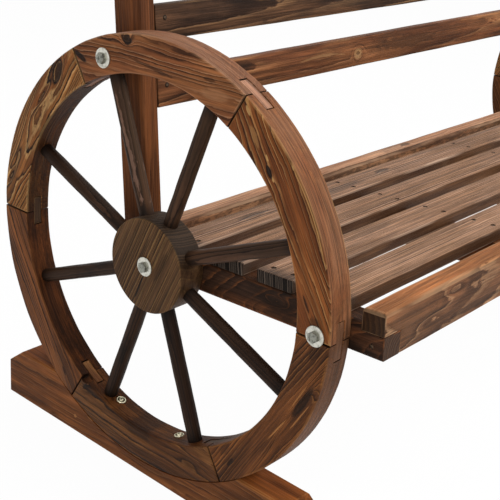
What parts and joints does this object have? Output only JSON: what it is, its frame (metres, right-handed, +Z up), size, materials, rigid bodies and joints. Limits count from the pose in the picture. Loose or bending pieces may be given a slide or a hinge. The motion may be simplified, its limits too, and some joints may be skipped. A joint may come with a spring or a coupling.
{
  "type": "garden bench",
  "caption": "Slatted wooden garden bench whose seat and raked back hang between cart wheels that are bolted to it and stand in saddled skids.",
  "frame": {"origin": "bottom centre of the overall box, on the ground between the skids", "axes": "+X along the seat towards the right-hand wheel as seen from the front, +Y to the back, +Z up"},
  "size_m": [1.5186, 0.647, 0.8383],
  "materials": {
    "rim_wood": "flame-charred and brown-stained fir, satin oil",
    "spoke_wood": "nearly black-brown charred turned wood, satin",
    "hub_wood": "charred fir, dark streaked, satin",
    "skid_wood": "flame-charred and brown-stained fir, satin oil",
    "frame_wood": "flame-charred and brown-stained fir, satin oil",
    "seat_slat_wood": "charred fir with greyish brown fine streaks, satin",
    "back_slat_wood": "flame-charred and brown-stained fir, satin oil",
    "zinc_steel": "bright zinc plated, slightly dull",
    "yellow_zinc": "yellow zinc plated, slightly dull"
  },
  "bodies": {
    "root": {"back_slat_1": "back_slat_wood", "back_slat_2": "back_slat_wood", "back_slat_3": "back_slat_wood", "back_slat_4": "back_slat_wood", "front_rail": "frame_wood", "left_back_post": "frame_wood", "left_bearer": "frame_wood", "left_felloe_1": "rim_wood", "left_felloe_2": "rim_wood", "left_felloe_3": "rim_wood", "left_felloe_4": "rim_wood", "left_felloe_5": "rim_wood", "left_felloe_6": "rim_wood", "left_felloe_tongues": "rim_wood", "left_hub": "hub_wood", "left_skid": "skid_wood", "left_spoke_1": "spoke_wood", "left_spoke_2": "spoke_wood", "left_spoke_3": "spoke_wood", "left_spoke_4": "spoke_wood", "left_spoke_5": "spoke_wood", "left_spoke_6": "spoke_wood", "left_spoke_7": "spoke_wood", "left_spoke_8": "spoke_wood", "middle_bearer_1": "frame_wood", "middle_bearer_2": "frame_wood", "middle_bearer_3": "frame_wood", "rear_rail": "frame_wood", "right_back_post": "frame_wood", "right_bearer": "frame_wood", "right_felloe_1": "rim_wood", "right_felloe_2": "rim_wood", "right_felloe_3": "rim_wood", "right_felloe_4": "rim_wood", "right_felloe_5": "rim_wood", "right_felloe_6": "rim_wood", "right_felloe_tongues": "rim_wood", "right_hub": "hub_wood", "right_skid": "skid_wood", "right_spoke_1": "spoke_wood", "right_spoke_2": "spoke_wood", "right_spoke_3": "spoke_wood", "right_spoke_4": "spoke_wood", "right_spoke_5": "spoke_wood", "right_spoke_6": "spoke_wood", "right_spoke_7": "spoke_wood", "right_spoke_8": "spoke_wood", "seat_slat_1": "seat_slat_wood", "seat_slat_2": "seat_slat_wood", "seat_slat_3": "seat_slat_wood", "seat_slat_4": "seat_slat_wood", "skid_screws": "yellow_zinc", "wheel_bolts": "zinc_steel", "wheel_nuts": "zinc_steel", "wheel_washers": "zinc_steel"}
  },
  "joints": []
}
